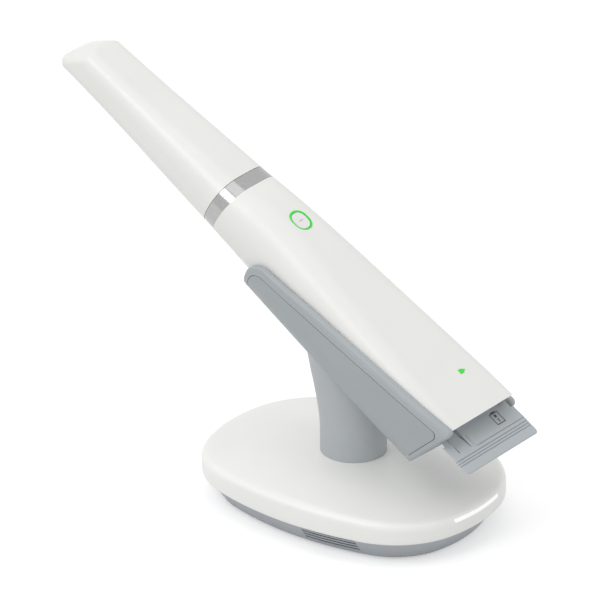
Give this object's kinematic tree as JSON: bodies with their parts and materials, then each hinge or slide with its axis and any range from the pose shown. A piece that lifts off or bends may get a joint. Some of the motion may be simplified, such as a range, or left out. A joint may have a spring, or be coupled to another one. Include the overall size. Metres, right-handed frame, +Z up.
{
  "type": "intraoral scanner",
  "caption": "Wireless dental scanner handpiece with a pull-off mirror tip, power button and slide-out battery, resting in its tilted cradle stand.",
  "frame": {"origin": "on the table under the column's axis, at the middle of the base", "axes": "+Z up, +X to the light strip and battery end, the tip points to -X and up, Y across"},
  "size_m": [0.2409, 0.104, 0.1856],
  "materials": {
    "white_shell": "fine satin moulding",
    "tip_shell": "smooth satin moulding",
    "cradle_grey": "bluish grey satin moulding",
    "underbody_grey": "darker grey satin moulding",
    "battery_grey": "grey moulding with ribs",
    "collar_metal": "bright turned band",
    "button_white": "satin button cap",
    "green_light": "glowing green light guide",
    "white_light": "frosted light guide",
    "rubber_black": "soft grey rubber",
    "mirror_glass": "front-surface mirror",
    "window_glass": "coated flat glass",
    "black_plastic": "black moulding",
    "board_green": "circuit board",
    "steel": "plated steel",
    "aluminium": "machined aluminium",
    "contact_brass": "gold-plated contact"
  },
  "bodies": {
    "stand": {"base_shell": "white_shell", "light_bar": "white_light", "light_board": "board_green", "underbody": "underbody_grey", "rubber_feet": "rubber_black", "ballast_plate": "steel", "base_board": "board_green", "power_inlet": "steel", "column_screws": "steel", "column": "cradle_grey", "cradle_cover": "cradle_grey", "cradle_tray": "cradle_grey", "cradle_screws": "steel", "body_sleeve": "white_shell", "battery_light": "green_light", "button_ring": "green_light", "button_switch": "black_plastic", "collar": "collar_metal", "snout": "black_plastic", "snout_window": "window_glass", "optics_frame": "aluminium", "lens_barrel": "black_plastic", "camera_module": "black_plastic", "projector_module": "aluminium", "heat_sink": "aluminium", "main_board": "board_green", "battery_bay": "black_plastic", "bay_contacts": "contact_brass"},
    "tip": {"scan_tip": "tip_shell", "tip_mirror": "mirror_glass"},
    "battery": {"battery_pack": "battery_grey", "battery_contacts": "contact_brass"},
    "button": {"power_button": "button_white"}
  },
  "joints": [
    {"name": "tip_pull", "type": "slide", "parent": "stand", "child": "tip", "axis": [-0.8712, 0, 0.4909], "range_m": [0, 0.06]},
    {"name": "battery_slide", "type": "slide", "parent": "stand", "child": "battery", "axis": [0.8462, 0, -0.5329], "range_m": [0, 0.052]},
    {"name": "button_press", "type": "slide", "parent": "stand", "child": "button", "axis": [-0.5329, 0, -0.8462], "range_m": [0, 0.0006], "stiffness_N_per_m": 800}
  ]
}
